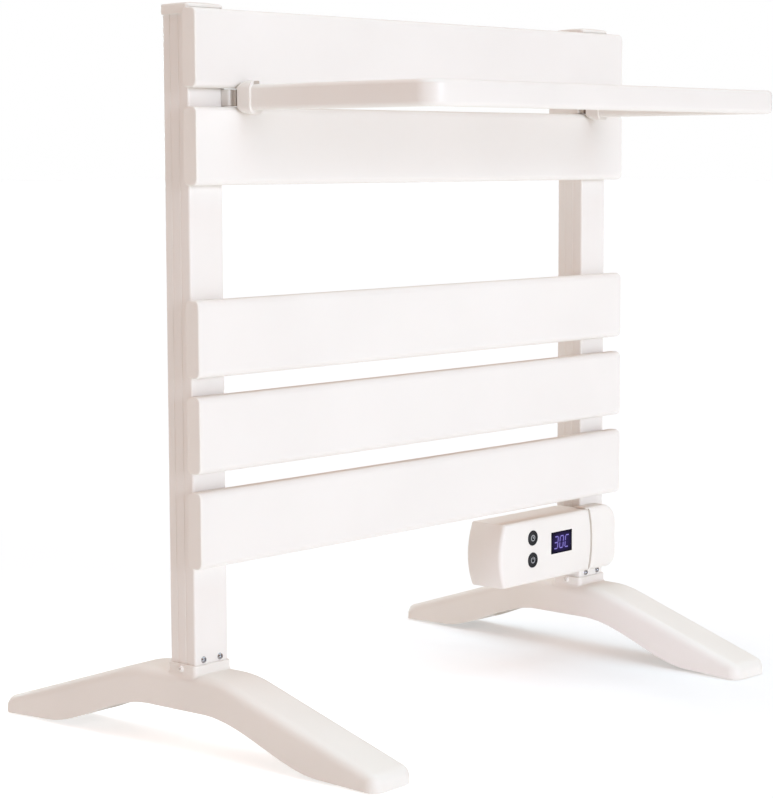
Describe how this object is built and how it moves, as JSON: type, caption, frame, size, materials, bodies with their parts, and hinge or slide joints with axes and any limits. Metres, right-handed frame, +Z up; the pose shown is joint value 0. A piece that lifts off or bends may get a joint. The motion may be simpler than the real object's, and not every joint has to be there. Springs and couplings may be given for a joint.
{
  "type": "towel rail",
  "caption": "Free-standing white electric towel rail with flat heated panels on two uprights, arched feet, a fold-up U-shaped towel bar and a control box.",
  "frame": {"origin": "on the floor, under the middle of the object's box", "axes": "X to the right seen from the front, Y to the back, Z up; the towel bar and the panels' faces look along -Y"},
  "size_m": [0.569, 0.4422, 0.5908],
  "materials": {
    "white_enamel": "satin powder coat",
    "white_plastic": "fine matt moulding",
    "heater_metal": "mill finish",
    "screw_steel": "zinc plated",
    "dark_plastic": "moulded",
    "pad_rubber": "matt",
    "black_gloss": "gloss",
    "board_laminate": "solder mask",
    "lead_sheath": "silicone sleeve"
  },
  "bodies": {
    "root": {"heating_panel_1": "white_enamel", "heating_panel_2": "white_enamel", "heating_panel_3": "white_enamel", "heating_panel_4": "white_enamel", "heating_panel_5": "white_enamel", "left_upright": "white_enamel", "right_upright": "white_enamel", "left_hinge_bracket": "white_enamel", "right_hinge_bracket": "white_enamel", "heater_bar_1": "heater_metal", "heater_bar_2": "heater_metal", "heater_bar_3": "heater_metal", "heater_bar_4": "heater_metal", "heater_bar_5": "heater_metal", "left_end_caps": "white_plastic", "right_end_caps": "white_plastic", "left_top_cap": "white_plastic", "right_top_cap": "white_plastic", "left_foot": "white_plastic", "right_foot": "white_plastic", "control_rear_shell": "white_plastic", "control_front_cover": "white_plastic", "control_end_cover": "white_plastic", "cable_gland": "white_plastic", "left_panel_screws": "screw_steel", "right_panel_screws": "screw_steel", "left_foot_screws": "screw_steel", "right_foot_screws": "screw_steel", "left_hinge_screws": "screw_steel", "right_hinge_screws": "screw_steel", "board_screws": "screw_steel", "cover_screws": "screw_steel", "control_fixing_screws": "screw_steel", "left_foot_insert": "dark_plastic", "right_foot_insert": "dark_plastic", "display_module": "dark_plastic", "button_switches": "dark_plastic", "terminal_block": "dark_plastic", "control_relay": "dark_plastic", "left_foot_pads": "pad_rubber", "right_foot_pads": "pad_rubber", "display_window": "black_gloss", "control_board": "board_laminate", "wiring_loom": "lead_sheath"},
    "towel_bar": {"towel_bar": "white_enamel", "left_bar_knuckle": "white_enamel", "right_bar_knuckle": "white_enamel", "left_hinge_pin": "screw_steel", "right_hinge_pin": "screw_steel"},
    "power_button": {"power_button": "black_gloss"},
    "mode_button": {"mode_button": "black_gloss"}
  },
  "joints": [
    {"name": "towel_bar_fold", "type": "hinge", "parent": "root", "child": "towel_bar", "pos_m": [0, -0.03157, 0.5172], "axis": [-1, 0, 0], "range_deg": [0, 90]},
    {"name": "power_button_press", "type": "slide", "parent": "root", "child": "power_button", "axis": [0, 1, 0], "range_m": [0, 0.0008], "stiffness_N_per_m": 400},
    {"name": "mode_button_press", "type": "slide", "parent": "root", "child": "mode_button", "axis": [0, 1, 0], "range_m": [0, 0.0008], "stiffness_N_per_m": 400}
  ]
}
